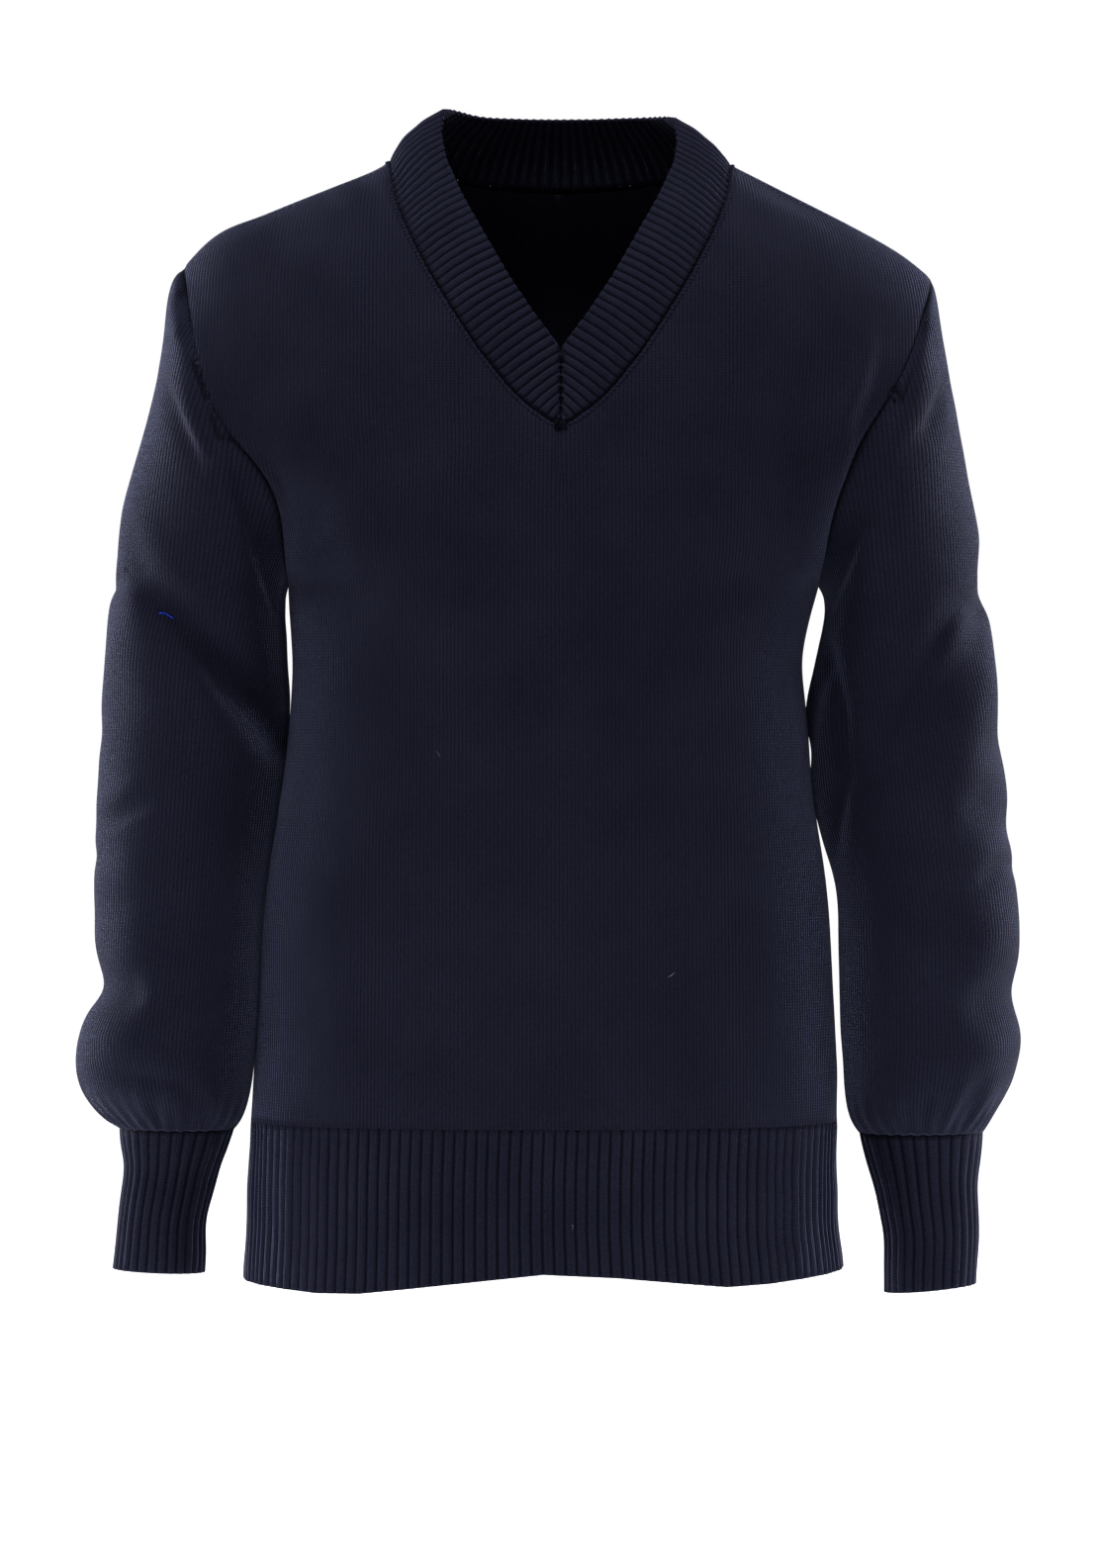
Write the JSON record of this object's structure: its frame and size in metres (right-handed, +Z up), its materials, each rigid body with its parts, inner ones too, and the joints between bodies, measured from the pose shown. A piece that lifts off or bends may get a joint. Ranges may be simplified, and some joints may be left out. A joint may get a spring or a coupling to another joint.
{
  "type": "school sweater",
  "caption": "Hollow V-neck pullover in its worn shape, plain knit with a ribbed neckband, ribbed cuffs and a ribbed welt.",
  "frame": {"origin": "middle of the neck opening, level with the top of the shoulder seams, where the garment is held when it is worn", "axes": "+Z up the body, -Y out of the front, +X towards the wearer's left arm"},
  "size_m": [0.4744, 0.1945, 0.597],
  "materials": {
    "plain_knit": "matte dark navy wool in a fine plain knit",
    "rib_knit": "matte dark navy wool in a rib knit"
  },
  "bodies": {
    "root": {"front_panel": "plain_knit", "back_panel": "plain_knit", "right_sleeve": "plain_knit", "left_sleeve": "plain_knit", "neckband": "rib_knit", "right_cuff": "rib_knit", "left_cuff": "rib_knit", "front_welt": "rib_knit", "back_welt": "rib_knit"}
  },
  "joints": []
}
